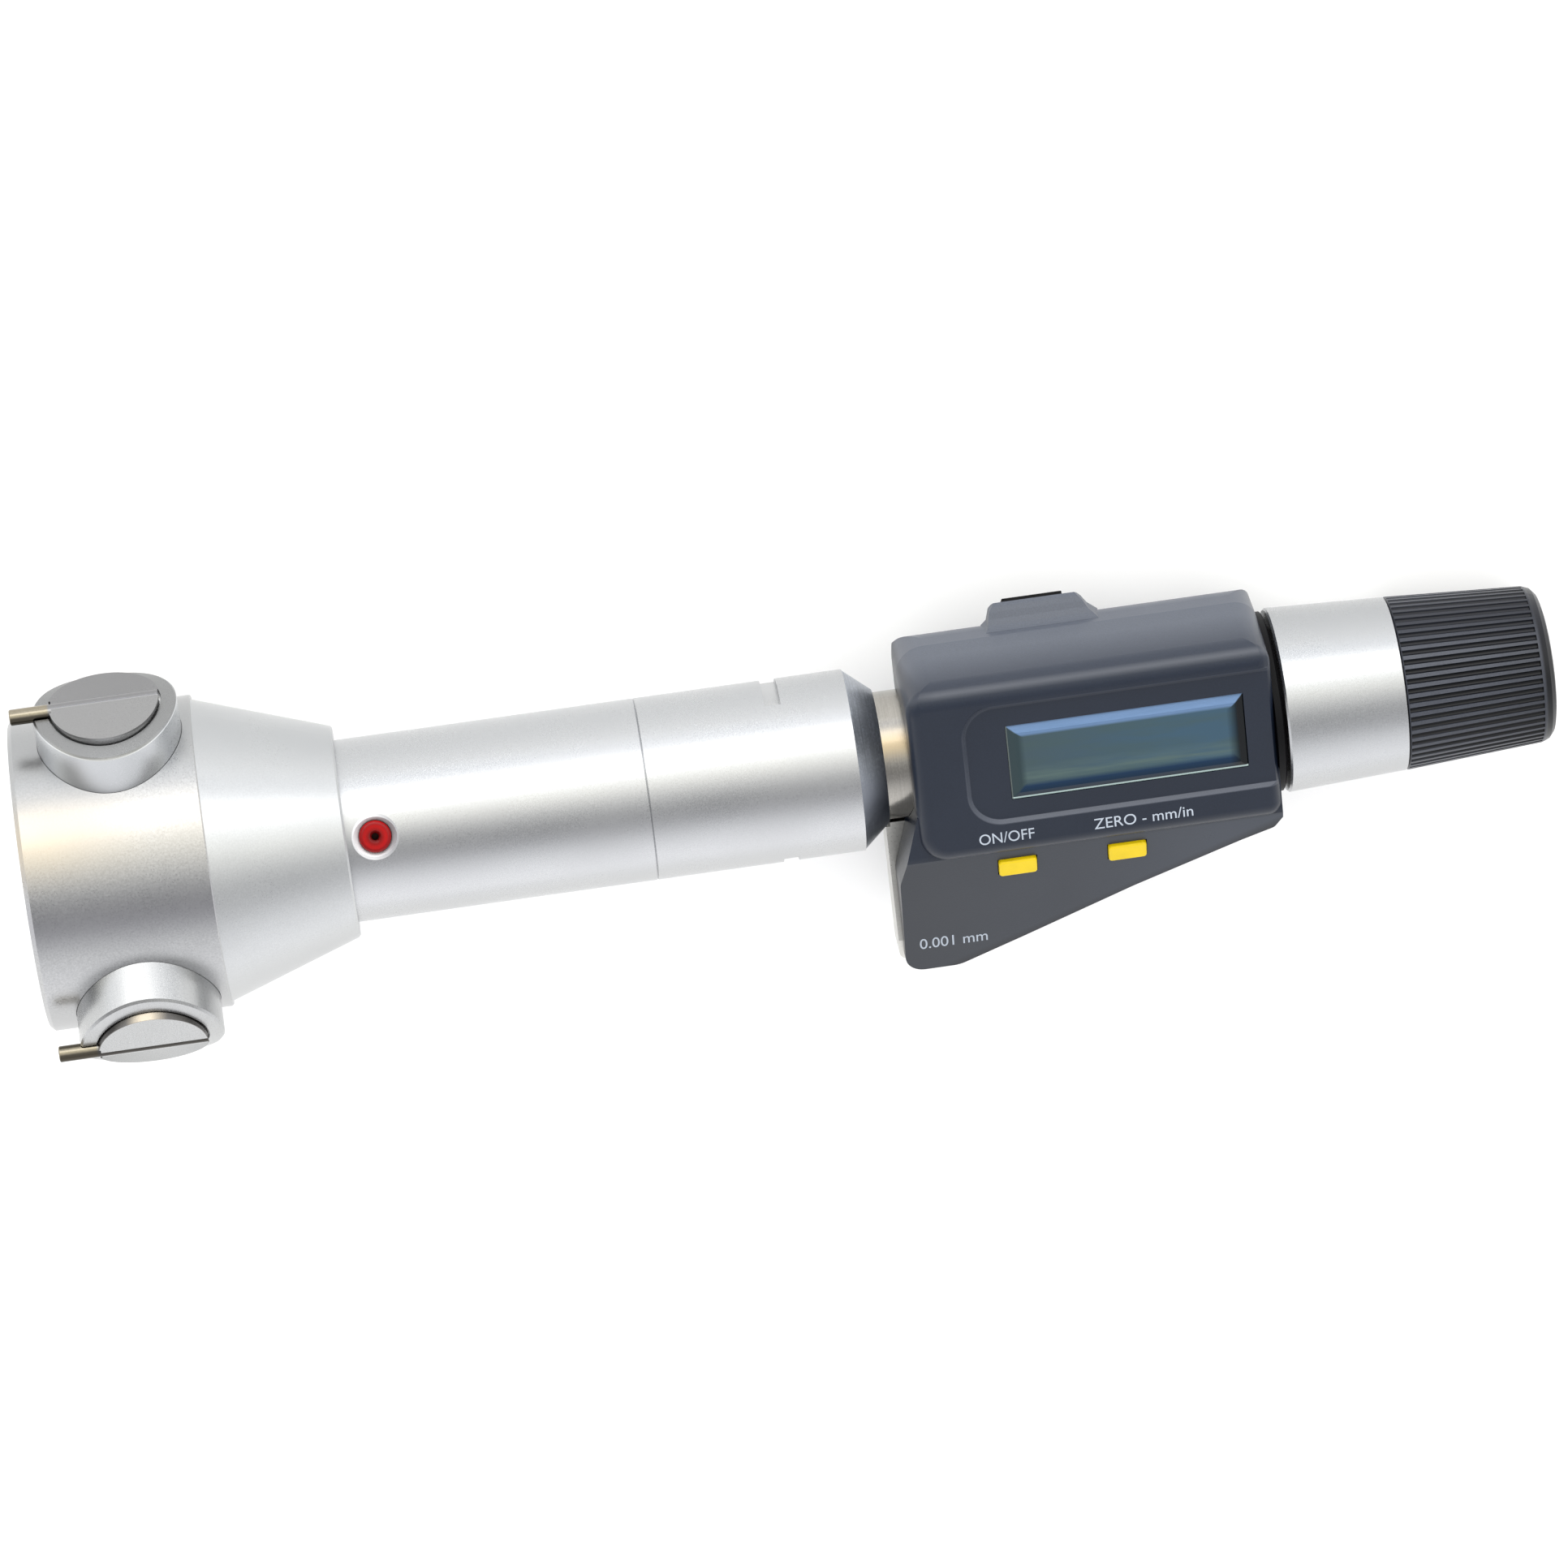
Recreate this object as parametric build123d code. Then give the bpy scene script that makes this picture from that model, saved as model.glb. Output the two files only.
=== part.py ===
from build123d import *
import math
import os

# Digital three-point inside micrometer, 43 to 50 mm, shown fully extended at 50 mm.
# Modelled in an instrument frame (X along the axis from the measuring face to the
# grip, Z out of the display, Y up on the display), then laid down as it rests:
# on the rim of the lowest measuring plunger and on the back edge of the housing.

# ---------------------------------------------------------------- driving sizes (mm)
HEAD_R = 19.5
HEAD_LEN = 22.7
HEAD_CAVITY_R = 13.5
HEAD_WALL = 2.6
PLUNGER_X = 12.6
PLUNGER_R = 8.9
GUIDE_GAP = 0.05
PLUNGER_ANGLES = (79.5, -40.5, 199.5)   # degrees from +Z towards +Y
CONTACT_R = 25.2                         # crest of the carbide pins at full extension
PIN_R = 1.0
PIN_X0 = 1.0
RING_CROWN_R = 24.15
BOSS_R = 6.8
BOSS_RIDGE = 25.12
BOSS_EAVE = 24.08
BOSS_FALL = (BOSS_RIDGE - BOSS_EAVE) / BOSS_R
DISC_INNER = 15.0
TAPER = 0.5                              # radial travel for each mm of cone travel
CONE_X0, CONE_X1 = 3.0, 18.5
CONE_MID_R = 10.0                        # cone radius at the plunger centre line
MOAT_W, MOAT_DEPTH = 0.2, 0.45
ADAPTER_R0, ADAPTER_R1, ADAPTER_X1 = 18.9, 13.2, 39.5
BARREL_R = 11.4
BARREL_SPLIT = 77.0
BARREL_X1 = 103.1
COLLAR_X1 = 106.5
NECK_R = 8.0
ROD_R = 3.0
SPINDLE_R = 3.25
SCREW_X, SCREW_ANGLE = 43.06, 20.1
SLOT_X0, SLOT_X1, SLOT_ANGLE, SLOT_FLAT = 92.8, 94.8, 101.0, 9.87
HOUSE_X0, HOUSE_X1 = 109.6, 155.0
HOUSE_Y0, HOUSE_Y1 = -10.7, 14.5
HOUSE_FRONT, HOUSE_BACK, HOUSE_SPLIT = 11.1, -13.5, -0.4
WALL = 1.6
WEDGE_X0, WEDGE_Y0 = 106.7, -29.4
CARRIER_X0, CARRIER_X1, CARRIER_TOP, CARRIER_Y0, CARRIER_Z0, CARRIER_Z1 = 106.1, 116.2, -8.0, -28.0, -3.2, 2.8
WEDGE_TILT = 22.0
WEDGE_REF_Y, WEDGE_REF_Z = -11.2, 9.75
RECESS_X0, RECESS_Y0, RECESS_Y1, RECESS_DEPTH = 116.1, -6.2, 9.9, 0.42
LCD_X0, LCD_X1, LCD_Y0, LCD_Y1 = 121.5, 151.2, -3.3, 6.85
BUTTON_X = (121.5, 135.3)
BUTTON_W, BUTTON_H, BUTTON_PROUD, BUTTON_TRAVEL = 4.8, 2.6, 0.55, 0.4
PORT_X, PORT_W, PORT_H, PORT_S = 127.7, 7.7, 4.0, 2.3
BUMP_TOP, BUMP_RIDGE_Z, BUMP_SLOPE = 17.15, -3.2, 32.0
THIMBLE_X0, THIMBLE_X1, THIMBLE_R0, THIMBLE_R1 = 156.4, 171.4, 11.6, 10.9
GRIP_X1, GRIP_R1 = 190.5, 9.85
GRIP_FLUTES, FLUTE_R = 56, 0.36
BATTERY_X, BATTERY_Y = 123.5, -16.6
HOUSING_SCREWS = ((119.3, 10.4, -4.0), (151.6, 10.4, -4.0), (151.4, -9.4, -11.9), (109.8, -24.6, -11.9))
BACK_EDGE_Z, BACK_FLAT_Y, TOP_LEAN_Y = -3.6, 5.5, 12.9
PITCH = 4.6666                           # degrees, measuring head raised


# ---------------------------------------------------------------- small helpers
def turned(*pts):
    """Solid of revolution about X from (x, radius) points."""
    return revolve(make_face(Polyline(*[(x, r, 0) for x, r in pts], close=True)), Axis.X, 360)


def tube(x0, x1, ro, ri):
    return turned((x0, ri), (x1, ri), (x1, ro), (x0, ro))


def bar(x0, x1, r):
    return Pos((x0 + x1) / 2, 0, 0) * Rot(0, 90, 0) * Cylinder(r, x1 - x0)


def block(x0, x1, y0, y1, z0, z1):
    return Pos((x0 + x1) / 2, (y0 + y1) / 2, (z0 + z1) / 2) * Box(x1 - x0, y1 - y0, z1 - z0)


def post(x, y, z0, z1, r):
    return Pos(x, y, (z0 + z1) / 2) * Cylinder(r, z1 - z0)


def prism(pts, z0, z1):
    """Closed outline in x, y pushed up from z0 to z1."""
    face = make_face(Polyline(*[(x, y, z0) for x, y in pts], close=True))
    return extrude(face, amount=z1 - z0, dir=(0, 0, 1))


def profile_yz(pts, x0, x1):
    """Closed outline in y, z pushed from x0 to x1."""
    return extrude(make_face(Polyline(*[(x0, y, z) for y, z in pts], close=True)), amount=x1 - x0, dir=(1, 0, 0))


def profile_xz(pts, y0, y1):
    """Closed outline in x, z pushed from y0 to y1."""
    return extrude(make_face(Polyline(*[(x, y0, z) for x, z in pts], close=True)), amount=y1 - y0, dir=(0, 1, 0))


def one(s):
    """Biggest solid of a result, as a plain solid."""
    return sorted(s.solids(), key=lambda v: v.volume)[-1]


def aim(angle):
    """Turn a shape built along +Z so that it points at angle from +Z towards +Y."""
    return Rot(-angle, 0, 0)


parts = {}

# ---------------------------------------------------------------- measuring head
head = turned((0, 0), (0, HEAD_R - 0.55), (0.55, HEAD_R), (HEAD_LEN - 0.15, HEAD_R),
              (HEAD_LEN, HEAD_R - 0.15), (HEAD_LEN, HEAD_CAVITY_R), (HEAD_WALL, HEAD_CAVITY_R),
              (HEAD_WALL, 0))
SCREW_PCR = 16.2
for a in PLUNGER_ANGLES:
    head -= aim(a) * (Pos(PLUNGER_X, 0, 15) * Cylinder(PLUNGER_R + GUIDE_GAP, 30))
head_screws = []
for a in PLUNGER_ANGLES:
    b = a + 60
    head -= aim(b) * (Pos(0, 0, SCREW_PCR) * (bar(-1, HEAD_LEN + 1, 1.3) + bar(-1, 2.4, 2.3)))
    s = bar(0.15, 2.35, 2.2) + bar(2.3, 25.2, 1.25)
    s -= Pos(0, 0, 0) * Rot(0, 90, 0) * Pos(0, 0, 0.7) * extrude(RegularPolygon(1.05, 6), amount=1.3, both=True)
    head_screws.append(aim(b) * (Pos(0, 0, SCREW_PCR) * one(s)))
# centring mark drilled in the middle of the flat measuring face
head -= Pos(0, 0, 0) * Rot(0, 90, 0) * Cone(1.2, 0.05, 1.2, align=(Align.CENTER, Align.CENTER, Align.MIN))
parts["head_body"] = one(head)
parts["head_screws"] = head_screws

# ---------------------------------------------------------------- cone and plungers
BETA = math.degrees(math.atan(TAPER))
CB, SB = math.cos(math.radians(BETA)), math.sin(math.radians(BETA))


def slope_box(s0, s1, n0, n1, half_w):
    """Box along the cone's slope: s along it, n away from it, centred on the plunger."""
    b = Pos((s0 + s1) / 2, 0, (n0 + n1) / 2) * Box(s1 - s0, 2 * half_w, n1 - n0)
    return Pos(PLUNGER_X, 0, CONE_MID_R) * Rot(0, -BETA, 0) * b


def cone_r(x):
    return CONE_MID_R + TAPER * (x - PLUNGER_X)


cone = turned((CONE_X0, 0), (CONE_X0, cone_r(CONE_X0) - 0.4), (CONE_X0 + 0.5, cone_r(CONE_X0 + 0.5)),
              (CONE_X1, cone_r(CONE_X1)), (CONE_X1 + 0.6, cone_r(CONE_X1)), (CONE_X1 + 0.6, 5.0),
              (CONE_X1 + 1.9, 5.0), (CONE_X1 + 1.9, ROD_R), (10.0, ROD_R), (10.0, 0))
for a in PLUNGER_ANGLES:
    groove = slope_box(-30, 30, -1.1, 6, 1.1) + slope_box(-30, 30, -2.3, -1.05, 2.1)
    groove += slope_box(-30, 30, -0.2, 6, 2.6)
    cone -= aim(a) * groove
parts["actuating_cone"] = one(cone)

anvils, pins = [], []
for a in PLUNGER_ANGLES:
    disc = Pos(PLUNGER_X, 0, (DISC_INNER + 26) / 2) * Cylinder(PLUNGER_R, 26 - DISC_INNER)
    disc &= bar(PLUNGER_X - 12, PLUNGER_X + 12, RING_CROWN_R)
    disc = one(disc)
    rim = disc.edges().filter_by(lambda e: e.center().Z > 20)
    disc = chamfer(rim, 0.25)
    moat = (Pos(PLUNGER_X, 0, 24.5) * Cylinder(BOSS_R + MOAT_W, 4)) - bar(PLUNGER_X - 12, PLUNGER_X + 12, RING_CROWN_R - MOAT_DEPTH)
    boss = extrude(make_face(Polyline((0, -8, 21), (0, -8, BOSS_EAVE - (8 - BOSS_R) * BOSS_FALL),
                                      (0, 0, BOSS_RIDGE), (0, 8, BOSS_EAVE - (8 - BOSS_R) * BOSS_FALL),
                                      (0, 8, 21), close=True)), amount=30, dir=(1, 0, 0))
    boss &= Pos(PLUNGER_X, 0, 22) * Cylinder(BOSS_R, 12)
    body = disc - moat + boss
    body -= block(0, PLUNGER_X - BOSS_R + 0.35, -1.2, 1.2, 23.0, 27)
    pin = Pos(0, 0, CONTACT_R - PIN_R) * turned((PIN_X0, 0), (PIN_X0, PIN_R - 0.12), (PIN_X0 + 0.12, PIN_R),
                                                (PLUNGER_X + BOSS_R - 0.1, PIN_R), (PLUNGER_X + BOSS_R - 0.1, 0))
    body -= Pos(0, 0, CONTACT_R - PIN_R) * bar(0, PLUNGER_X + BOSS_R, PIN_R)
    tongue = block(6.9, 17.5, -2.5, 2.5, 3, DISC_INNER + 0.4)
    tongue &= slope_box(-20, 20, -0.15, 20, 4)
    foot = slope_box(-2.5, 4.5, -1.3, 1.0, 1.0) + slope_box(-2.5, 4.5, -2.2, -1.15, 2.0)
    body = body + tongue + foot
    anvils.append(aim(a) * one(body))
    pins.append(aim(a) * one(pin))
for i, nm in enumerate(("upper", "side", "lower")):
    parts["anvil_" + nm] = anvils[i]
    parts["carbide_pin_" + nm] = pins[i]

# ---------------------------------------------------------------- stem: adapter, barrel, collar
adapter = turned((HEAD_LEN, HEAD_CAVITY_R), (HEAD_LEN, ADAPTER_R0), (ADAPTER_X1 - 0.25, ADAPTER_R1 + 0.08),
                 (ADAPTER_X1, ADAPTER_R1 - 0.2), (ADAPTER_X1, 9.0), (48.0, 9.0), (48.0, 5.5),
                 (30.6, 5.5), (30.6, HEAD_CAVITY_R))
for a in PLUNGER_ANGLES:
    adapter -= aim(a + 60) * (Pos(0, 0, SCREW_PCR) * bar(HEAD_LEN - 1, 25.6, 1.25))
adapter -= aim(SCREW_ANGLE) * (Pos(SCREW_X, 0, 9) * Cylinder(2.05, 8))
parts["cone_adapter"] = one(adapter)
parts["rod_guide_front"] = one(tube(31.0, 40.6, 5.5, ROD_R + 0.03))

front = turned((ADAPTER_X1, 9.02), (48.2, 9.02), (48.2, 8.0), (70.0, 8.0), (70.0, 9.02),
               (BARREL_SPLIT, 9.02), (BARREL_SPLIT, BARREL_R - 0.12), (BARREL_SPLIT - 0.12, BARREL_R),
               (ADAPTER_X1, BARREL_R))
front -= aim(SCREW_ANGLE) * (Pos(SCREW_X, 0, 12) * Cylinder(2.05, 10))
front -= aim(SCREW_ANGLE) * (Pos(SCREW_X, 0, 10.55) * Cone(2.05, 3.1, 1.4, align=(Align.CENTER, Align.CENTER, Align.MIN)))
parts["barrel_front"] = one(front)
screw = Pos(SCREW_X, 0, (5.9 + 10.2) / 2) * Cylinder(2.0, 10.2 - 5.9)
screw -= Pos(SCREW_X, 0, 8.6) * extrude(RegularPolygon(1.15, 6), amount=3)
parts["setting_screw"] = aim(SCREW_ANGLE) * one(screw)
seal = Pos(SCREW_X, 0, 10.72) * Cylinder(2.0, 1.04)
seal = fillet(one(seal).edges().group_by(Axis.Z)[-1], 0.45)
seal -= Pos(SCREW_X, 0, 10.9) * Cone(0.45, 1.0, 0.5, align=(Align.CENTER, Align.CENTER, Align.MIN))
seal -= Pos(SCREW_X, 0, 10.6) * Cylinder(0.45, 1.6)
parts["red_seal"] = aim(SCREW_ANGLE) * one(seal)

rear = turned((70.3, 6.5), (70.3, 9.0), (BARREL_SPLIT, 9.0), (BARREL_SPLIT, BARREL_R - 0.12),
              (BARREL_SPLIT + 0.12, BARREL_R), (BARREL_X1, BARREL_R), (BARREL_X1, NECK_R + 0.02),
              (97.0, NECK_R + 0.02), (97.0, 6.5))
for a in (SLOT_ANGLE, SLOT_ANGLE + 180):
    rear -= aim(a) * block(SLOT_X0, SLOT_X1, -15, 15, SLOT_FLAT, 20)
parts["barrel_rear"] = one(rear)
parts["rod_guide_rear"] = one(tube(80.0, 89.0, 6.5, ROD_R + 0.03))
parts["end_collar"] = one(turned((BARREL_X1, NECK_R + 0.02), (BARREL_X1, 11.3), (COLLAR_X1, 8.4),
                                 (COLLAR_X1, NECK_R + 0.02)))
parts["neck_sleeve"] = one(tube(97.3, 116.0, NECK_R, 4.0))

# push rod with its button end, held in the spindle's cup so that it pulls as well as pushes
parts["push_rod"] = one(turned((10.0, 0), (10.0, ROD_R), (94.5, ROD_R), (94.5, 2.0), (98.1, 2.0), (98.1, ROD_R),
                               (99.6, ROD_R), (99.6, 0)))

# ---------------------------------------------------------------- display housing, front shell
TILT_T = math.tan(math.radians(WEDGE_TILT))


def wedge_z(y):
    return WEDGE_REF_Z + (y - WEDGE_REF_Y) * TILT_T


def below_wedge(drop):
    """Everything under the sloping wedge face, lowered by drop."""
    d = drop / math.cos(math.radians(WEDGE_TILT))
    y0, y1 = -45.0, 20.0
    face = make_face(Polyline((100, y0, -30), (100, y1, -30), (100, y1, wedge_z(y1) - d),
                              (100, y0, wedge_z(y0) - d), close=True))
    return extrude(face, amount=60, dir=(1, 0, 0))


def soft_box(x0, x1, y0, y1, z0, z1, r_tl, r_tr, r_bl, r_br):
    b = block(x0, x1, y0, y1, z0, z1)
    for (ex, ey), r in (((x0, y1), r_tl), ((x1, y1), r_tr), ((x0, y0), r_bl), ((x1, y0), r_br)):
        if r:
            e = b.edges().filter_by(Axis.Z).filter_by(lambda q: abs(q.center().X - ex) < 0.01 and abs(q.center().Y - ey) < 0.01)
            b = fillet(e, r)
    return b


WEDGE_OUT = [(HOUSE_X0, -4.4), (WEDGE_X0, -14.0), (WEDGE_X0, WEDGE_Y0), (113.5, WEDGE_Y0),
             (121.9, -25.85), (135.9, -19.75), (149.8, -14.35), (153.9, -12.95), (HOUSE_X1, -11.4), (HOUSE_X1, -4.4)]


def wedge_prism(z0, z1):
    w = prism(WEDGE_OUT, z0, z1)
    picks = {(WEDGE_X0, WEDGE_Y0): 2.4, (113.5, WEDGE_Y0): 4.0, (WEDGE_X0, -14.0): 2.5, (153.9, -12.95): 1.0}
    for (ex, ey), r in picks.items():
        e = w.edges().filter_by(Axis.Z).filter_by(lambda q: abs(q.center().X - ex) < 0.02 and abs(q.center().Y - ey) < 0.02)
        w = fillet(e, r)
    return w


panel = block(HOUSE_X0, HOUSE_X1, HOUSE_Y0, HOUSE_Y1, HOUSE_SPLIT, HOUSE_FRONT)
# the top face leans in towards the display
panel = one(panel & profile_yz([(-20, HOUSE_SPLIT - 1), (HOUSE_Y1, HOUSE_SPLIT - 1), (HOUSE_Y1, 0.6), (TOP_LEAN_Y, HOUSE_FRONT),
                                (TOP_LEAN_Y - 0.2, HOUSE_FRONT + 2), (-20, HOUSE_FRONT + 2)], 100, 160))
for ex, ey, r in ((HOUSE_X0, HOUSE_Y1, 3.6), (HOUSE_X1, HOUSE_Y1, 3.0), (HOUSE_X0, HOUSE_Y0, 3.6), (HOUSE_X1, HOUSE_Y0, 1.8)):
    near = 1.2 if ey > 0 else 0.05
    edges = [e for e in panel.edges() if abs(e.center().X - ex) < 0.05 and abs(e.center().Y - ey) < near
             and abs((e @ 0).X - (e @ 1).X) < 0.01 and abs((e @ 0).Z - (e @ 1).Z) > 0.5]
    panel = fillet(edges, r)
panel = fillet(panel.faces().sort_by(Axis.Z)[-1].edges(), 1.7)
# wide round along the edge between the top face and the display face
crest = profile_yz([(-20, HOUSE_SPLIT - 1), (HOUSE_Y1 + 0.2, HOUSE_SPLIT - 1), (HOUSE_Y1 + 0.2, 0.6 - 0.2 * 10.5 / 1.6),
                    (TOP_LEAN_Y, HOUSE_FRONT), (-20, HOUSE_FRONT)], 105, 160)
crest = fillet(crest.edges().filter_by(Axis.X).filter_by(lambda q: abs(q.center().Y - TOP_LEAN_Y) < 0.01 and abs(q.center().Z - HOUSE_FRONT) < 0.01), 3.0)
panel = one(panel & crest)
wedge = wedge_prism(HOUSE_SPLIT, 10.0)
wedge &= below_wedge(0)
wedge = one(wedge)
shell = one(panel + wedge)
# label recess, open at the right-hand side
recess = soft_box(RECESS_X0 + RECESS_DEPTH, HOUSE_X1 + 5, RECESS_Y0 + RECESS_DEPTH, RECESS_Y1 - 0.12, HOUSE_FRONT - RECESS_DEPTH, HOUSE_FRONT + 2, 3.8, 0, 3.8, 0)
foot = recess.faces().sort_by(Axis.Z)[0]
recess = extrude(foot, amount=2 * RECESS_DEPTH, dir=(0, 0, 1), taper=-45)
recess -= block(100, 170, RECESS_Y1, 20, 0, 20)
shell -= recess
# hollow of the front shell
hollow = block(HOUSE_X0 + WALL, HOUSE_X1 - WALL, HOUSE_Y0 + 0.9, HOUSE_Y1 - WALL, HOUSE_SPLIT - 1, 9.3)
hollow &= profile_yz([(-12, -2), (12.9, -2), (12.9, 0.6), (11.55, 9.4), (-12, 9.4)], 100, 160)
whollow = prism([(112.0, -8.0), (112.0, -26.4), (114.2, -26.4), (150.5, -11.7), (HOUSE_X1 - WALL, -10.6),
                 (HOUSE_X1 - WALL, -8.0)], HOUSE_SPLIT - 1, 8.6)
whollow &= below_wedge(1.5)
shell -= hollow
shell -= one(whollow)
# pocket of the steel carrier, open at the left below the neck
shell -= block(WEDGE_X0 - 2, CARRIER_X1 + 0.1, CARRIER_Y0 - 0.1, CARRIER_TOP + 0.1, HOUSE_SPLIT - 1, CARRIER_Z1 + 0.1) & below_wedge(1.3)
shell -= block(111.4, CARRIER_X1 + 0.1, -9.0, 12.8, HOUSE_SPLIT - 1, CARRIER_Z1 + 0.1)
# window for the display
shell -= block(LCD_X0, LCD_X1, LCD_Y0, LCD_Y1, 8, 13)
# right-hand wall opening for the thimble guide
shell -= bar(HOUSE_X1 - 3, HOUSE_X1 + 1, 9.05)
shell -= bar(HOUSE_X0 - 4, HOUSE_X0 + 4, NECK_R + 0.05)
# screw posts
for x, y, seat in HOUSING_SCREWS:
    top = 8.9 if y > -20 else 3.2
    shell += post(x, y, HOUSE_SPLIT, top, 2.2) if y > -20 else post(x, y, HOUSE_SPLIT, top, 0.5)
    shell -= post(x, y, HOUSE_SPLIT - 1, min(6.2, top - 0.6), 1.1)


def on_wedge(x, y, shape):
    """Place a shape built round the origin onto the wedge face, its Z along the face's normal."""
    return Pos(x, y, wedge_z(y)) * Rot(WEDGE_TILT, 0, 0) * shape


BUTTON_Y = -13.2
buttons = []
for bx in BUTTON_X:
    shell -= on_wedge(bx, BUTTON_Y, Box(BUTTON_W + 0.2, BUTTON_H + 0.2, 6))
    cap = Pos(0, 0, (BUTTON_PROUD - 1.6) / 2) * Box(BUTTON_W, BUTTON_H, BUTTON_PROUD + 1.6)
    cap = fillet(cap.edges().filter_by(Axis.Z), 0.45)
    cap = fillet(cap.faces().sort_by(Axis.Z)[-1].edges(), 0.25)
    cap += Pos(0, 0, -1.78) * Box(BUTTON_W + 1.4, BUTTON_H + 1.2, 0.5)
    buttons.append(on_wedge(bx, BUTTON_Y, one(cap)))
parts["housing_front"] = one(shell)
parts["button_left"] = buttons[0]
parts["button_right"] = buttons[1]
pad = Pos(0, 0, -2.85) * Box(24, 4.6, 0.5)
for bx in BUTTON_X:
    pad += Pos(bx - 128.4, 0, -2.58) * Cylinder(1.0, 0.24)
parts["button_pad"] = on_wedge(128.4, BUTTON_Y, one(pad))

# clear display lens with its bevelled rim
lens = block(LCD_X0 + 0.05, LCD_X1 - 0.05, LCD_Y0 + 0.05, LCD_Y1 - 0.05, 9.35, 11.0)


def bevel_y(y_edge, sgn):
    f = make_face(Polyline((LCD_X0 - 2, y_edge - sgn * 1, 12), (LCD_X0 - 2, y_edge - sgn * 1, 10.55),
                           (LCD_X0 - 2, y_edge, 10.55), (LCD_X0 - 2, y_edge + sgn * 0.95, 11.0),
                           (LCD_X0 - 2, y_edge + sgn * 0.95, 12), close=True))
    return extrude(f, amount=LCD_X1 - LCD_X0 + 4, dir=(1, 0, 0))


def bevel_x(x_edge, sgn):
    f = make_face(Polyline((x_edge - sgn * 1, LCD_Y0 - 2, 12), (x_edge - sgn * 1, LCD_Y0 - 2, 10.55),
                           (x_edge, LCD_Y0 - 2, 10.55), (x_edge + sgn * 0.95, LCD_Y0 - 2, 11.0),
                           (x_edge + sgn * 0.95, LCD_Y0 - 2, 12), close=True))
    return extrude(f, amount=LCD_Y1 - LCD_Y0 + 4, dir=(0, 1, 0))


lens -= bevel_y(LCD_Y0 + 0.05, 1)
lens -= bevel_y(LCD_Y1 - 0.05, -1)
lens -= bevel_x(LCD_X0 + 0.05, 1)
lens -= bevel_x(LCD_X1 - 0.05, -1)
parts["display_lens"] = one(lens)
parts["display_module"] = one(block(121.0, 151.6, -3.8, 7.3, 7.5, 9.2))
strip = block(121.6, 151.0, 5.6, 7.0, 7.25, 7.45)
parts["display_connector"] = one(strip)
board = block(122.2, 148.8, -8.8, 11.7, 6.2, 7.2)
parts["circuit_board"] = one(board)

# ---------------------------------------------------------------- display housing, back shell
# cross-section of the back: flat rear face, sloping facet up to the top face
section = profile_yz([(HOUSE_Y0, HOUSE_SPLIT), (HOUSE_Y1, HOUSE_SPLIT), (HOUSE_Y1, BACK_EDGE_Z), (BACK_FLAT_Y, HOUSE_BACK),
                      (HOUSE_Y0, HOUSE_BACK)], HOUSE_X0, HOUSE_X1)
for (ey, ez), r in (((HOUSE_Y1, BACK_EDGE_Z), 5.0), ((BACK_FLAT_Y, HOUSE_BACK), 3.0)):
    e = section.edges().filter_by(Axis.X).filter_by(lambda q: abs(q.center().Y - ey) < 0.01 and abs(q.center().Z - ez) < 0.01)
    section = fillet(e, r)
base = soft_box(HOUSE_X0, HOUSE_X1, HOUSE_Y0, HOUSE_Y1, HOUSE_BACK, HOUSE_SPLIT, 3.6, 3.0, 0, 0) & section
base &= profile_xz([(HOUSE_X0, HOUSE_SPLIT), (HOUSE_X0, -4.5), (HOUSE_X0 + 1.8, HOUSE_BACK), (HOUSE_X1 - 0.5, HOUSE_BACK),
                    (HOUSE_X1, HOUSE_BACK + 0.5), (HOUSE_X1, HOUSE_SPLIT)], -40, 20)
wback = wedge_prism(HOUSE_BACK, HOUSE_SPLIT)
wback = chamfer(wback.faces().sort_by(Axis.Z)[0].edges(), 0.5)
wback &= profile_xz([(WEDGE_X0, HOUSE_SPLIT), (WEDGE_X0, -3.3), (WEDGE_X0 + 0.9, HOUSE_BACK), (HOUSE_X1 - 0.5, HOUSE_BACK),
                     (HOUSE_X1, HOUSE_BACK + 0.5), (HOUSE_X1, HOUSE_SPLIT)], -40, 20)
base = one(one(base) + one(wback))
# raised block of the data port on the top edge, its rear face sloping down to the back
SLOPE_S, SLOPE_C = math.sin(math.radians(BUMP_SLOPE)), math.cos(math.radians(BUMP_SLOPE))
bump = prism([(121.0, 8.0), (121.0, 14.2), (121.7, HOUSE_Y1 + 0.35), (122.1, BUMP_TOP - 0.8), (122.8, BUMP_TOP),
              (133.0, BUMP_TOP), (133.8, BUMP_TOP - 0.8), (134.4, HOUSE_Y1 + 0.9), (135.7, HOUSE_Y1 - 0.2), (135.7, 8.0)],
             -9.4, HOUSE_SPLIT)
bump_front = [(8.0, HOUSE_SPLIT), (HOUSE_Y1 + 0.02, HOUSE_SPLIT), (HOUSE_Y1 + 0.16, -0.8), (HOUSE_Y1 + 0.5, -1.25), (HOUSE_Y1 + 1.1, -1.8),
              (HOUSE_Y1 + 1.8, -2.3), (HOUSE_Y1 + 2.35, -2.75), (BUMP_TOP, BUMP_RIDGE_Z)]
flanks = bump & profile_yz(bump_front + [(BUMP_TOP - 0.4, BACK_EDGE_Z), (8.0, BACK_EDGE_Z)], 110, 150)
core = bump & profile_yz(bump_front + [(BUMP_TOP - 6.6 * SLOPE_S, BUMP_RIDGE_Z - 6.6 * SLOPE_C), (8.0, -9.2)], 123.0, 132.6)
bump = one(flanks) + one(core)
base = one(base + one(bump))
hollow = block(HOUSE_X0 + 3.3, HOUSE_X1 - WALL, HOUSE_Y0 + 0.2, HOUSE_Y1 - WALL, HOUSE_BACK + WALL, HOUSE_SPLIT + 1)
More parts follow.
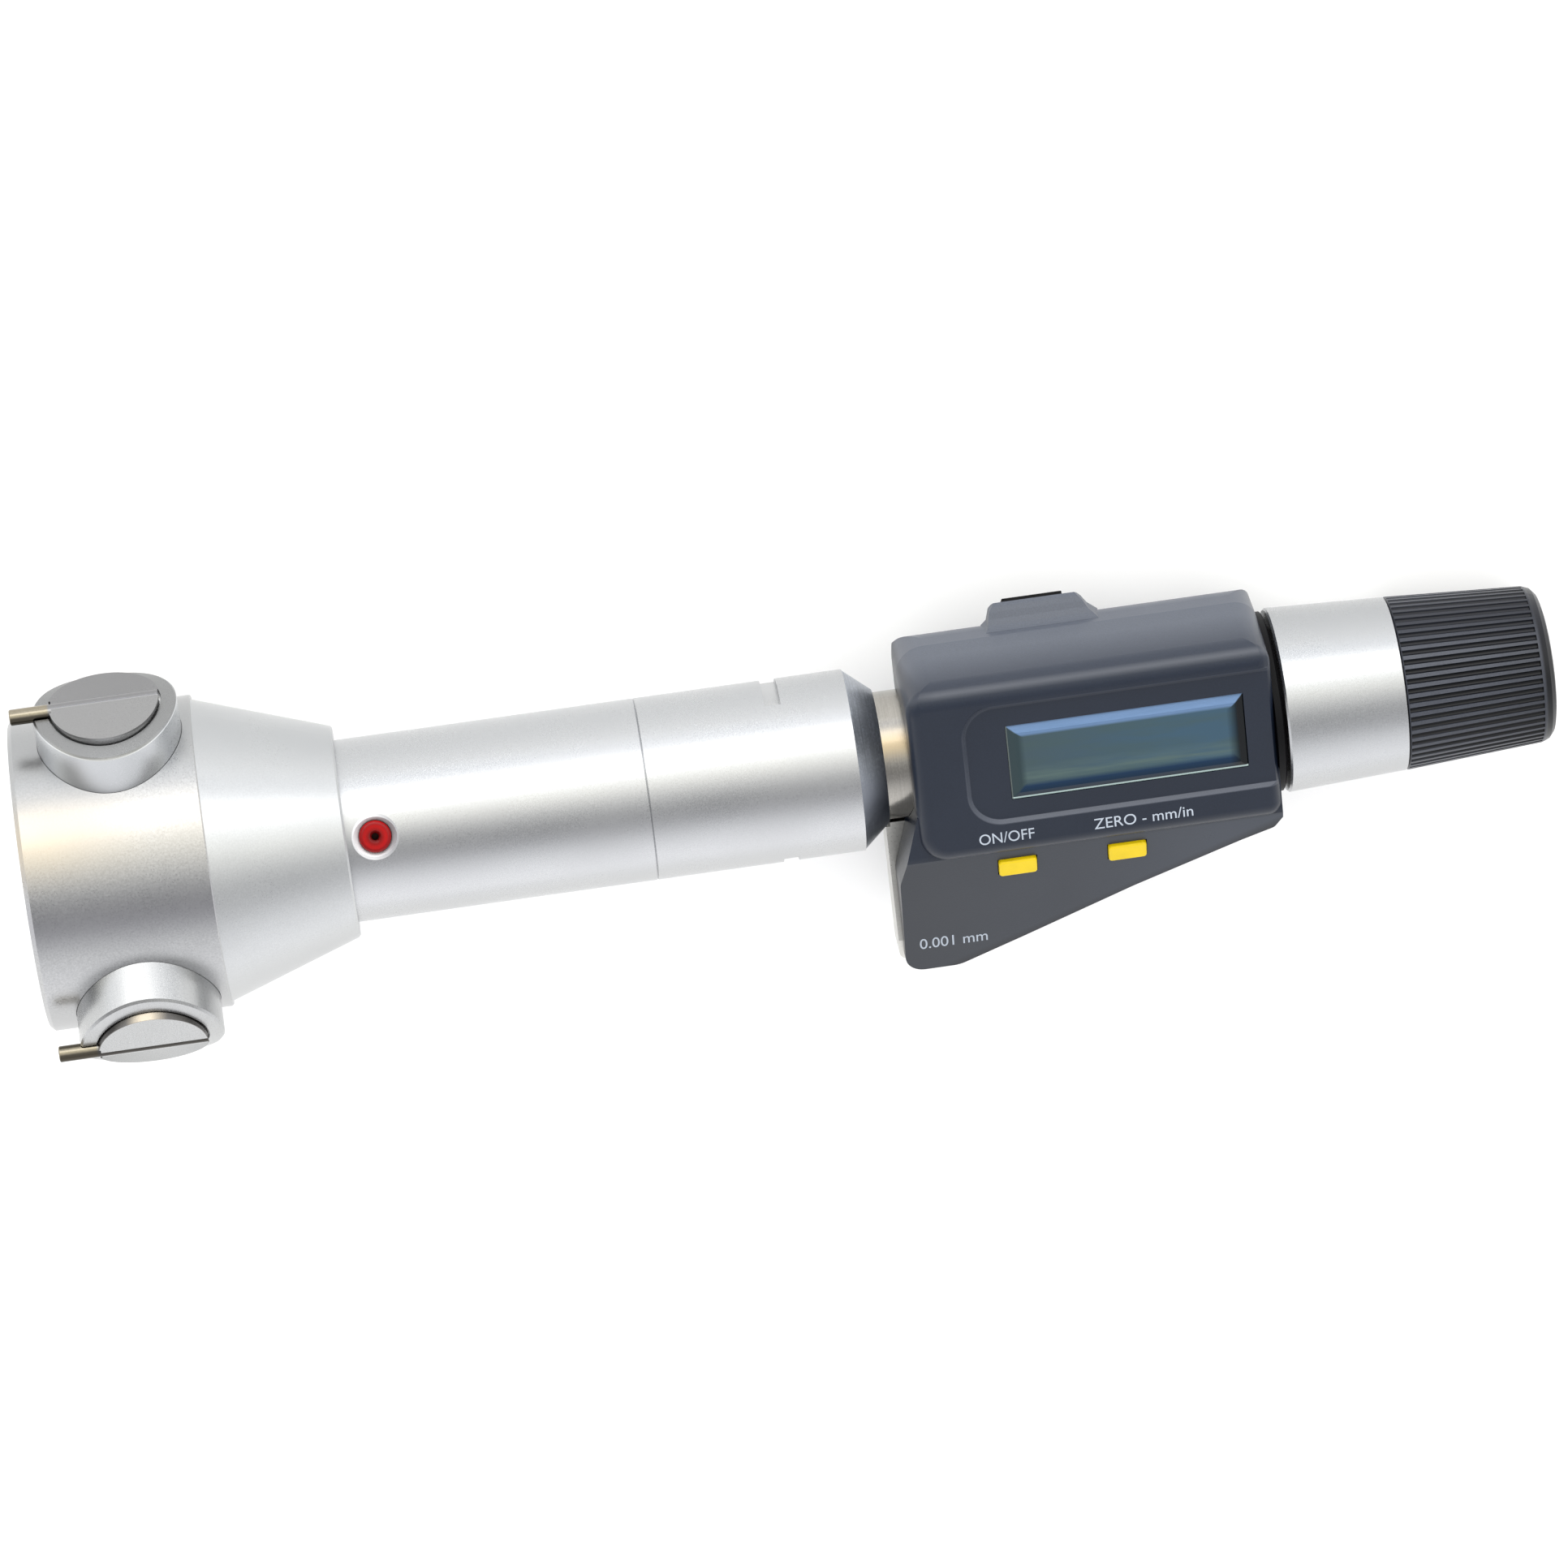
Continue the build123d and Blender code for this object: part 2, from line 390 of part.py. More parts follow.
hollow &= profile_yz([(-12, 2), (12.9, 2), (12.9, -2.96), (4.77, -11.9), (-12, -11.9)], 100, 160)
base -= hollow
base -= prism([(116.3, -8.0), (116.3, -26.4), (150.5, -11.7), (HOUSE_X1 - WALL, -10.6),
               (HOUSE_X1 - WALL, -8.0)], HOUSE_BACK + WALL, HOUSE_SPLIT + 1)
# seat of the steel carrier, open at the left
base -= block(WEDGE_X0 - 2, CARRIER_X1 + 0.1, CARRIER_Y0 - 0.1, CARRIER_TOP + 0.1, CARRIER_Z0 - 0.1, HOUSE_SPLIT + 1)
base -= block(111.4, CARRIER_X1 + 0.1, -9.1, 12.8, CARRIER_Z0 - 0.1, HOUSE_SPLIT + 1)
base -= block(111.4, CARRIER_X1 + 0.1, -9.1, 6.1, -9.6, CARRIER_Z0)
base -= bar(HOUSE_X1 - 3, HOUSE_X1 + 1, 9.05)
base -= bar(HOUSE_X0 - 4, HOUSE_X0 + 4, NECK_R + 0.05)
inside = section + profile_yz([(-10.5, HOUSE_SPLIT), (-12, HOUSE_SPLIT), (-12, HOUSE_BACK + 0.5), (-10.5, HOUSE_BACK + 0.5)], 140, HOUSE_X1)
for x, y, seat in HOUSING_SCREWS:
    if y > -20:
        base += post(x, y, HOUSE_BACK + 1, HOUSE_SPLIT, 2.3) & inside
    base -= post(x, y, HOUSE_BACK - 1, HOUSE_SPLIT + 1, 1.15)
    base -= post(x, y, HOUSE_BACK - 1, seat, 2.05)
# battery compartment with its seat for the cap
base += post(BATTERY_X, BATTERY_Y, HOUSE_BACK + 1, -4.9, 7.2)
base -= post(BATTERY_X, BATTERY_Y, HOUSE_BACK - 1, -5.6, 5.9)
base -= post(BATTERY_X, BATTERY_Y, HOUSE_BACK - 1, -11.3, 6.65)
# data port slot in the sloping rear face of the raised block


def on_port(shape):
    """Place a shape on the port's face, its Z along the outward normal."""
    y, z = BUMP_TOP - PORT_S * SLOPE_S, BUMP_RIDGE_Z - PORT_S * SLOPE_C
    return Pos(PORT_X, y, z) * Rot(-(90 + BUMP_SLOPE), 0, 0) * shape


base -= on_port(Pos(0, 0, -1.5) * Box(PORT_W, PORT_H, 7.0))
parts["housing_back"] = one(base)

cap = post(BATTERY_X, BATTERY_Y, -13.3, -11.4, 6.6)
cap += post(BATTERY_X, BATTERY_Y, -11.5, -10.9, 5.8)
cap -= block(BATTERY_X - 4.5, BATTERY_X + 4.5, BATTERY_Y - 0.8, BATTERY_Y + 0.8, -14, -12.3)
parts["battery_cap"] = one(cap)
cell = post(BATTERY_X, BATTERY_Y, -10.85, -6.4, 5.8) + post(BATTERY_X, BATTERY_Y, -6.5, -5.65, 4.6)
parts["battery"] = one(cell)

screws = []
for x, y, seat in HOUSING_SCREWS:
    top = 6.0 if y > -20 else 2.4
    s = post(x, y, seat - 1.35, seat, 1.95) + post(x, y, seat - 0.1, top, 1.05)
    s -= block(x - 1.5, x + 1.5, y - 0.25, y + 0.25, seat - 2, seat - 0.75)
    s -= block(x - 0.25, x + 0.25, y - 1.5, y + 1.5, seat - 2, seat - 0.75)
    screws.append(one(s))
parts["housing_screws"] = screws

cover = Pos(0, 0, (0.45 - 3.6) / 2) * Box(PORT_W - 0.16, PORT_H - 0.16, 4.05)
cover = fillet(cover.faces().sort_by(Axis.Z)[-1].edges(), 0.12)
parts["data_port_cover"] = on_port(one(cover))
parts["data_connector"] = on_port(Pos(0, 0, -4.35) * Box(PORT_W - 0.6, PORT_H - 0.6, 1.1))

# ---------------------------------------------------------------- steel carrier in the housing
carrier = block(CARRIER_X0, CARRIER_X1, CARRIER_Y0, CARRIER_TOP, CARRIER_Z0, CARRIER_Z1)
carrier &= below_wedge(1.4)
carrier += block(111.5, CARRIER_X1, -9.0, 12.7, CARRIER_Z0, CARRIER_Z1)
carrier += block(111.5, CARRIER_X1, -9.0, 6.0, -9.5, CARRIER_Z0)
carrier += block(113.0, 128.0, -9.3, 4.6, -11.6, -9.5)
carrier += block(122.4, 127.6, -6.6, 6.6, -9.6, 4.2)
carrier -= bar(100, 118, NECK_R)
carrier -= bar(118, 130, 5.6)
carrier -= bar(100, 106.65, 9.0)
carrier -= post(109.8, -24.6, -12, 5, 1.15)
corner = carrier.edges().filter_by(Axis.Z).filter_by(lambda q: abs(q.center().X - CARRIER_X0) < 0.02 and q.center().Y < -27)
carrier = fillet(corner, 1.2)
parts["carrier_frame"] = one(carrier)

parts["encoder_stator"] = one(tube(116.2, 117.4, 8.0, 4.5))
rotor = tube(118.2, 119.9, 7.4, SPINDLE_R + 0.08)
rotor += block(118.2, 119.9, -0.45, 0.45, SPINDLE_R - 0.6, SPINDLE_R + 0.6)
parts["encoder_rotor"] = one(rotor)

parts["rear_sleeve"] = one(tube(122.4, 152.0, 5.6, 4.6))
parts["spindle_nut"] = one(tube(126.0, 148.0, 4.6, SPINDLE_R + 0.05))
parts["guide_sleeve"] = one(turned((149.0, 5.6), (149.0, 7.0), (153.85, 7.0), (153.85, 9.0), (170.0, 9.0), (170.0, 8.0),
                                   (154.6, 8.0), (154.6, 5.6)))
parts["dust_ring"] = one(turned((HOUSE_X1, 9.0), (HOUSE_X1, 11.3), (HOUSE_X1 + 0.8, 11.3), (HOUSE_X1 + 0.95, 11.1),
                                (HOUSE_X1 + 0.95, 9.0)))

# ---------------------------------------------------------------- thimble, spindle and ratchet grip
spindle = turned((98.0, 3.1), (98.0, 3.85), (101.5, 3.85), (101.5, SPINDLE_R), (176.5, SPINDLE_R), (176.5, 0),
                 (99.75, 0), (99.75, 3.1))
spindle -= block(103.5, 122.5, -0.55, 0.55, SPINDLE_R - 0.75, 5)
parts["spindle"] = one(spindle)
parts["swivel_ring"] = one(tube(95.4, 98.0, 3.85, 2.06))
thimble = turned((THIMBLE_X0, 9.1), (THIMBLE_X0, THIMBLE_R0 - 0.25), (THIMBLE_X0 + 0.25, THIMBLE_R0),
                 (THIMBLE_X1, THIMBLE_R1), (THIMBLE_X1, 9.7), (174.2, 9.7), (174.2, 6.0), (176.5, 6.0),
                 (176.5, SPINDLE_R), (172.0, SPINDLE_R), (172.0, 9.1))
parts["thimble"] = one(thimble)


def face_teeth(x, ro, ri, n, depth, sign):
    """Ratchet teeth on an end face: shallow radial wedges."""
    out = []
    for i in range(n):
        t = Polyline((x, 0, 0), (x + sign * depth, 0, 0), (x, 1.1, 0), close=True)
        w = extrude(make_face(t), amount=ro - ri, dir=(0, 0, 1))
        out.append(Rot(i * 360 / n, 0, 0) * (Pos(0, 0, ri) * w))
    return out


wheel = tube(176.5, 178.3, 6.6, 2.0)
for t in face_teeth(178.25, 6.3, 4.0, 12, 0.75, 1):
    wheel += t
parts["ratchet_wheel"] = one(wheel)
pawl = tube(179.3, 181.2, 7.4, 2.3)
parts["pawl_ring"] = one(pawl)
shoulder = turned((176.5, 0), (176.5, 1.95), (187.3, 1.95), (187.3, 4.4), (188.9, 4.4), (188.9, 0))
shoulder -= block(188.2, 190, -3.6, 3.6, -0.5, 0.5)
parts["shoulder_screw"] = one(shoulder)

grip = turned((THIMBLE_X1 + 0.1, 9.8), (THIMBLE_X1 + 0.1, THIMBLE_R1 - 0.25), (THIMBLE_X1 + 0.35, THIMBLE_R1),
              (GRIP_X1 - 1.6, GRIP_R1), (GRIP_X1 - 0.75, GRIP_R1 - 0.35), (GRIP_X1 - 0.2, GRIP_R1 - 1.0),
              (GRIP_X1, GRIP_R1 - 1.8), (GRIP_X1, 5.2), (187.1, 5.2), (187.1, 2.15), (185.6, 2.15), (185.6, 7.45),
              (174.5, 7.45), (174.5, 9.8))
slope = math.degrees(math.atan((THIMBLE_R1 - GRIP_R1) / (GRIP_X1 - 1.6 - THIMBLE_X1)))
flute_len = GRIP_X1 - 1.9 - THIMBLE_X1
flutes = []
for i in range(GRIP_FLUTES):
    c = Pos((THIMBLE_X1 + 0.4 + GRIP_X1 - 1.9) / 2, 0, (THIMBLE_R1 + GRIP_R1) / 2 + 0.02) * Rot(0, 90 + slope, 0) * Cylinder(FLUTE_R, flute_len - 0.2)
    flutes.append(Rot(i * 360 / GRIP_FLUTES, 0, 0) * c)
grip = grip - flutes
parts["ratchet_grip"] = one(grip)
parts["grip_end_cap"] = one(turned((189.4, 0), (189.4, 5.2), (GRIP_X1 - 0.1, 5.2), (GRIP_X1 + 0.0, 5.0), (GRIP_X1 + 0.0, 0)))

spring_path = Helix(pitch=0.62, height=3.72, radius=5.0)
spring_section = Plane(origin=spring_path @ 0, z_dir=spring_path % 0) * Circle(0.22)
spring = sweep(spring_section, path=spring_path, is_frenet=True)
parts["ratchet_spring"] = Pos(181.5, 0, 0) * Rot(0, 90, 0) * one(spring)

# ---------------------------------------------------------------- lay down and centre
lay = Rot(0, PITCH, 0)
placed = {n: [lay * s for s in (v if isinstance(v, list) else [v])] for n, v in parts.items()}


def low_point():
    """Lowest height of the plunger rim and of the housing's back edge after laying down."""
    p = math.radians(PITCH)
    a = math.radians(PLUNGER_ANGLES[2])
    best = 1e9
    for k in range(7200):
        t = math.radians(k / 20)
        x, q = PLUNGER_X + BOSS_R * math.cos(t), BOSS_R * math.sin(t)
        h = BOSS_RIDGE - abs(q) * (BOSS_RIDGE - BOSS_EAVE) / BOSS_R
        z = math.cos(a) * h - math.sin(a) * q
        best = min(best, -x * math.sin(p) + z * math.cos(p))
    back = min(-HOUSE_X1 * math.sin(p) + (HOUSE_BACK + 0.5) * math.cos(p),
               -(HOUSE_X1 - 0.5) * math.sin(p) + HOUSE_BACK * math.cos(p))
    return best, back


rim_low, back_low = low_point()
xs, ys = [], []
for v in placed.values():
    for s in v:
        bb = s.bounding_box()
        xs += [bb.min.X, bb.max.X]
        ys += [bb.min.Y, bb.max.Y]
SHIFT = (-(min(xs) + max(xs)) / 2, -(min(ys) + max(ys)) / 2, -min(rim_low, back_low))
print("rim", rim_low, "back", back_low, "shift", SHIFT, "pitch", PITCH)

os.makedirs("parts", exist_ok=True)
for name, solids in placed.items():
    moved = [Pos(*SHIFT) * s for s in solids]
    export_step(moved[0] if len(moved) == 1 else Compound(children=moved), "parts/%s.step" % name)
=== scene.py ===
import bpy
import bmesh
import math
from mathutils import Matrix, Vector


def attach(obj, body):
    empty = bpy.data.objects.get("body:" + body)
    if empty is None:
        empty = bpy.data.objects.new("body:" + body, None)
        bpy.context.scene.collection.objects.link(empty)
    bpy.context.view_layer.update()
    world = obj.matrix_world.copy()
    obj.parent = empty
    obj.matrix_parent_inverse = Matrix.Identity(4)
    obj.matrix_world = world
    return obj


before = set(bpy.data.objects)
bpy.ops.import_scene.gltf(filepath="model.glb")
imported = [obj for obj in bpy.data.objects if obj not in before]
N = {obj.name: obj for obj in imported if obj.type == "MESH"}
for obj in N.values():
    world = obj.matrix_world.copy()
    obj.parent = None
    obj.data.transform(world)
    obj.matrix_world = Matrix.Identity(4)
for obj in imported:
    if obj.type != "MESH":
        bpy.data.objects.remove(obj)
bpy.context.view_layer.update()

# Instrument frame in millimetres (X along the axis, Z out of the display) to the row frame.
PITCH = math.radians(4.6666)
SHIFT = Vector((-94.49084614642838, 2.2420101262566856, 26.025036876788068))
UNIT = Matrix.Translation(SHIFT * 0.001) @ Matrix.Rotation(PITCH, 4, "Y") @ Matrix.Scale(0.001, 4)
BACK_SHIFT = Matrix.Rotation(-PITCH, 3, "Y") @ SHIFT


def up(x, y, z):
    """Point of the instrument frame (mm) in the row frame (m)."""
    return UNIT @ Vector((x, y, z))


# ------------------------------------------------------------------ camera
cam_data = bpy.data.cameras.new("camera")
cam = bpy.data.objects.new("camera", cam_data)
bpy.context.scene.collection.objects.link(cam)
right = Vector((0.9941740417653947, -0.10586511596937236, 0.020262080363343083))
upv = Vector((0.1038488077329827, 0.8904285612522691, -0.443116691672354))
back = Vector((0.02886866488594894, 0.4426393052215375, 0.896234927717447))
m = Matrix((right, upv, back)).transposed().to_4x4()
m.translation = Vector((0.0262884333186944, 0.4121519153655793, 0.8523858869963404))
cam.matrix_world = m
cam_data.sensor_fit = "HORIZONTAL"
cam_data.sensor_width = 36.0
cam_data.lens = 9200.0 / 1932.0 * 36.0
cam_data.clip_start = 0.01
cam_data.clip_end = 50.0
bpy.context.scene.camera = cam


# ------------------------------------------------------------------ node helpers
class Mat:
    """A small builder for a node material round one Principled shader."""

    def __init__(self, name):
        self.m = bpy.data.materials.new(name)
        self.m.use_nodes = True
        self.t = self.m.node_tree
        self.t.nodes.clear()
        self.out = self.t.nodes.new("ShaderNodeOutputMaterial")
        self.b = self.t.nodes.new("ShaderNodeBsdfPrincipled")
        self.t.links.new(self.b.outputs["BSDF"], self.out.inputs["Surface"])
        tc = self.t.nodes.new("ShaderNodeTexCoord")
        mp = self.t.nodes.new("ShaderNodeMapping")
        mp.inputs["Scale"].default_value = (1000, 1000, 1000)
        mp.inputs["Rotation"].default_value = (0, -PITCH, 0)
        mp.inputs["Location"].default_value = (-BACK_SHIFT.x, -BACK_SHIFT.y, -BACK_SHIFT.z)
        self.t.links.new(tc.outputs["Object"], mp.inputs["Vector"])
        self.unit = mp.outputs["Vector"]
        self.height = None

    def set(self, **kw):
        for k, v in kw.items():
            self.b.inputs[k.replace("_", " ")].default_value = v
        return self

    def link(self, a, b):
        self.t.links.new(a, b)

    def scaled(self, s):
        mp = self.t.nodes.new("ShaderNodeMapping")
        mp.inputs["Scale"].default_value = s
        self.link(self.unit, mp.inputs["Vector"])
        return mp.outputs["Vector"]

    def noise(self, scale=(1, 1, 1), detail=2.0, rough=0.5, distortion=0.0):
        n = self.t.nodes.new("ShaderNodeTexNoise")
        n.inputs["Scale"].default_value = 1.0
        n.inputs["Detail"].default_value = detail
        n.inputs["Roughness"].default_value = rough
        n.inputs["Distortion"].default_value = distortion
        self.link(self.scaled(scale), n.inputs["Vector"])
        return n.outputs["Fac"]

    def ramp(self, src, a, b, va, vb):
        r = self.t.nodes.new("ShaderNodeMapRange")
        r.inputs["From Min"].default_value = a
        r.inputs["From Max"].default_value = b
        r.inputs["To Min"].default_value = va
        r.inputs["To Max"].default_value = vb
        self.link(src, r.inputs["Value"])
        return r.outputs["Result"]

    def math(self, op, a, b):
        n = self.t.nodes.new("ShaderNodeMath")
        n.operation = op
        for i, v in enumerate((a, b)):
            if isinstance(v, (int, float)):
                n.inputs[i].default_value = v
            else:
                self.link(v, n.inputs[i])
        return n.outputs[0]

    def mix(self, fac, ca, cb):
        n = self.t.nodes.new("ShaderNodeMix")
        n.data_type = "RGBA"
        for i, v in ((0, fac), (6, ca), (7, cb)):
            if isinstance(v, (int, float)):
                n.inputs[i].default_value = v
            elif isinstance(v, (tuple, list)):
                n.inputs[i].default_value = (*v[:3], 1.0)
            else:
                self.link(v, n.inputs[i])
        return n.outputs[2]

    def color(self, src):
        self.link(src, self.b.inputs["Base Color"])
        return self

    def rough(self, src):
        self.link(src, self.b.inputs["Roughness"])
        return self

    def bump(self, src, dist_mm, strength=1.0):
        n = self.t.nodes.new("ShaderNodeBump")
        n.inputs["Distance"].default_value = dist_mm * 0.001
        n.inputs["Strength"].default_value = strength
        self.link(src, n.inputs["Height"])
        if self.height is not None:
            self.link(self.height, n.inputs["Normal"])
        self.height = n.outputs["Normal"]
        self.link(self.height, self.b.inputs["Normal"])
        return self

    def sep(self):
        s = self.t.nodes.new("ShaderNodeSeparateXYZ")
        self.link(self.unit, s.inputs[0])
        return s.outputs


def tone(c, k):
    return tuple(min(1.0, v * k) for v in c)


def satin_metal(name, base, rough=0.36, grain=0.22, bump=0.012, lines=0.0, spots=0.35, var=0.10, metal=1.0, specks=0.0):
    """Blasted or turned metal: fine sandy grain, slow blotches, optional turning lines round X."""
    w = Mat(name)
    w.set(Metallic=metal)
    fine = w.noise((1 / grain, 1 / grain, 1 / grain), 3.0, 0.6)
    slow = w.noise((0.09, 0.09, 0.09), 3.0, 0.55)
    c = w.mix(w.ramp(fine, 0.3, 0.7, 0.0, 1.0), tone(base, 1 - var), tone(base, 1 + var * 0.6))
    c = w.mix(w.ramp(slow, 0.35, 0.75, 0.0, 0.35), c, tone(base, 0.93))
    if lines:
        ln = w.noise((9.0, 0.16, 0.16), 2.0, 0.6)
        c = w.mix(w.ramp(ln, 0.42, 0.62, 0.0, lines), c, tone(base, 0.72))
        w.bump(ln, 0.006, 0.6 * lines)
    if specks:
        dots = w.noise((1.7, 1.7, 1.7), 1.0, 0.5)
        far = w.noise((0.22, 0.22, 0.22), 1.0, 0.5)
        mask = w.math("MULTIPLY", w.ramp(dots, 0.73, 0.78, 0.0, specks), w.ramp(far, 0.5, 0.6, 0.0, 1.0))
        c = w.mix(mask, c, tone(base, 0.45))
    w.color(c)
    r = w.ramp(fine, 0.25, 0.75, rough - 0.05, rough + 0.06)
    r = w.math("ADD", r, w.ramp(slow, 0.3, 0.7, -0.03, 0.04))
    w.rough(r)
    w.bump(fine, bump * 0.45, spots)
    return w


UPPER, SIDE = math.radians(79.5), math.radians(-40.5)


def near_plunger(w, angle, inner=0.0, outer=9.3, x0=12.6):
    """1 on the end of the plunger that points at angle, between two radii about its own axis, else 0."""
    p = w.sep()
    t = w.math("SUBTRACT", w.math("MULTIPLY", p["Y"], math.cos(angle)), w.math("MULTIPLY", p["Z"], math.sin(angle)))
    h = w.math("ADD", w.math("MULTIPLY", p["Y"], math.sin(angle)), w.math("MULTIPLY", p["Z"], math.cos(angle)))
    dx = w.math("SUBTRACT", p["X"], x0)
    r = w.math("SQRT", w.math("ADD", w.math("MULTIPLY", dx, dx), w.math("MULTIPLY", t, t)), 0.0)
    m = w.math("MULTIPLY", w.ramp(r, outer, outer + 0.05, 1.0, 0.0), w.ramp(r, inner - 0.02, inner, 0.0, 1.0))
    return m, t, h, r


def band(w, centre, half):
    """Soft band of the surface round X, centred at an angle from the display side towards +Y, in degrees."""
    p = w.sep()
    phi = w.math("ARCTAN2", p["Y"], p["Z"])
    d = w.math("ABSOLUTE", w.math("SUBTRACT", phi, math.radians(centre)), 0.0)
    r = w.ramp(d, 0.0, math.radians(half), 1.0, 0.0)
    w.t.nodes[-1].interpolation_type = "SMOOTHSTEP"
    return r, p


def tinted(w, colour, fac):
    """Mix a colour over what the base colour already carries."""
    old = w.b.inputs["Base Color"].links[0].from_socket
    w.color(w.mix(fac, old, colour))
    return w


def plastic(name, base, rough=0.42, grain=0.16, bump=0.02, strength=0.35, spec=0.5, var=0.12, low=None, lit_top_tone=None):
    """Spark-eroded moulding: fine pebbled grain; for the housing also a lighter wedge tone, painted light and shade on
    the wedge, painted highlights along the display recess and the top edge, and a painted lit top face.
    """
    w = Mat(name)
    w.set(Metallic=0.0)
    w.b.inputs["Specular IOR Level"].default_value = spec
    fine = w.noise((1 / grain, 1 / grain, 1 / grain), 2.0, 0.55)
    slow = w.noise((0.07, 0.07, 0.07), 4.0, 0.6)
    c = w.mix(w.ramp(fine, 0.3, 0.7, 0.0, 1.0), tone(base, 1 - var), tone(base, 1 + var))
    c = w.mix(w.ramp(slow, 0.45, 0.75, 0.0, 0.3), c, tone(base, 1.25))
    if low:
        p = w.sep()
        c = w.mix(w.ramp(p["Y"], -9.9, -10.7, 0.0, 1.0), c, w.mix(w.ramp(fine, 0.3, 0.7, 0.0, 1.0), tone(low, 1 - var), tone(low, 1 + var)))
        # painted light and shade on the wedge: lighter to the right, darker to the left and along its lower edge
        lower = w.ramp(p["Y"], -10.6, -11.0, 0.0, 1.0)
        c = w.mix(w.math("MULTIPLY", lower, w.ramp(p["X"], 128.0, 148.0, 0.0, 0.60)), c, tone(low, 1.9))
        c = w.mix(w.math("MULTIPLY", lower, w.ramp(p["X"], 122.0, 107.0, 0.0, 0.55)), c, tone(low, 0.55))
        edge = w.math("SUBTRACT", p["Y"], w.math("ADD", -29.4, w.math("MULTIPLY", w.math("SUBTRACT", p["X"], 113.5), 0.4146)))
        c = w.mix(w.math("MULTIPLY", lower, w.ramp(edge, 1.3, 0.0, 0.0, 0.80)), c, tone(low, 0.25))
        # painted highlight along the edge of the shallow display recess, stronger at its lower part
        px = w.math("MAXIMUM", w.math("SUBTRACT", 120.3, p["X"]), 0.0)
        py = w.math("ADD", w.math("MAXIMUM", w.math("SUBTRACT", -2.0, p["Y"]), 0.0), w.math("MAXIMUM", w.math("SUBTRACT", p["Y"], 5.7), 0.0))
        rr = w.math("SQRT", w.math("ADD", w.math("MULTIPLY", px, px), w.math("MULTIPLY", py, py)), 0.0)
        recess_edge_highlight = w.math("MULTIPLY", w.ramp(rr, 3.70, 3.80, 0.0, 1.0), w.ramp(rr, 4.26, 4.34, 1.0, 0.0))
        recess_edge_highlight = w.math("MULTIPLY", recess_edge_highlight, w.math("MULTIPLY", w.ramp(p["Z"], 10.3, 10.5, 0.0, 1.0), w.ramp(p["Y"], -3.0, 4.0, 1.0, 0.45)))
        # painted highlight streak on the rounded edge between the display face and the top face
        off = w.math("ABSOLUTE", w.math("SUBTRACT", w.math("SUBTRACT", p["Y"], p["Z"]), 1.75), 0.0)
        edge_streak_highlight = w.math("MULTIPLY", w.ramp(off, 1.0, 0.1, 0.0, 0.85), w.math("MULTIPLY", w.ramp(p["Y"], 10.7, 11.2, 0.0, 1.0), w.ramp(p["X"], 111.0, 113.5, 0.4, 1.0)))
        c = w.mix(edge_streak_highlight, c, (0.040, 0.045, 0.058))
        c = w.mix(recess_edge_highlight, c, (0.038, 0.044, 0.060))
        # painted light: the top face above the display face in a lighter tone
        lit_top_face = w.math("MULTIPLY", w.ramp(p["Y"], 12.2, 13.1, 0.0, 1.0), w.ramp(p["Z"], 10.2, 3.2, 0.0, 1.0))
        c = w.mix(lit_top_face, c, w.mix(w.ramp(fine, 0.3, 0.7, 0.0, 1.0), tone(lit_top_tone, 1 - var), tone(lit_top_tone, 1 + var)))
    w.color(c)
    r = w.ramp(slow, 0.3, 0.7, rough - 0.04, rough + 0.05)
    r = w.math("ADD", r, w.ramp(fine, 0.3, 0.7, -0.03, 0.03))
    w.rough(r)
    w.bump(fine, bump, strength)
    return w


def smooth_piece(name, base, rough=0.2, metal=0.0, spec=0.5, var=0.08, bump=0.004, coat=0.0):
    w = Mat(name)
    w.set(Metallic=metal)
    w.b.inputs["Specular IOR Level"].default_value = spec
    w.b.inputs["Coat Weight"].default_value = coat
    w.b.inputs["Coat Roughness"].default_value = 0.08
    fine = w.noise((2.2, 2.2, 2.2), 3.0, 0.6)
    slow = w.noise((0.3, 0.3, 0.3), 3.0, 0.5)
    w.color(w.mix(w.ramp(slow, 0.35, 0.7, 0.0, 1.0), tone(base, 1 - var), tone(base, 1 + var * 0.5)))
    w.rough(w.ramp(fine, 0.3, 0.7, rough * 0.85, rough * 1.2))
    w.bump(fine, bump, 0.25)
    return w


# ------------------------------------------------------------------ materials
M = {}
M["satin"] = satin_metal("satin_chrome", (0.470, 0.474, 0.478), rough=0.31, grain=0.24, bump=0.016, spots=0.22, var=0.20)
w = M["satin"]
# painted warm highlight band on the head, stronger towards its left end
f, p = band(w, 38.0, 24.0)
tinted(w, (0.500, 0.435, 0.340), w.math("MULTIPLY", f, w.ramp(p["X"], 16.0, 4.0, 0.25, 0.80)))
# painted darker bluish reflection band on the head near the display side
f, p = band(w, 7.0, 15.0)
tinted(w, (0.365, 0.365, 0.385), w.math("MULTIPLY", f, 0.75))
M["adapter"] = satin_metal("satin_chrome_cone", (0.550, 0.560, 0.566), rough=0.32, grain=0.20, bump=0.010, spots=0.30)
M["barrel"] = satin_metal("satin_chrome_barrel", (0.528, 0.535, 0.545), rough=0.29, grain=0.18, bump=0.008, spots=0.25)
M["thimble"] = satin_metal("satin_chrome_thimble", (0.505, 0.514, 0.524), rough=0.29, grain=0.18, bump=0.008, spots=0.25)
M["neck"] = satin_metal("ground_neck", (0.365, 0.350, 0.320), rough=0.21, grain=0.25, bump=0.004, lines=0.35)
# painted warm highlight band on the neck
f, p = band(M["neck"], 35.0, 20.0)
tinted(M["neck"], (0.385, 0.315, 0.215), f)
M["collar"] = satin_metal("anodised_collar", (0.47, 0.50, 0.55), rough=0.38, grain=0.30, bump=0.03, lines=0.8, var=0.3)
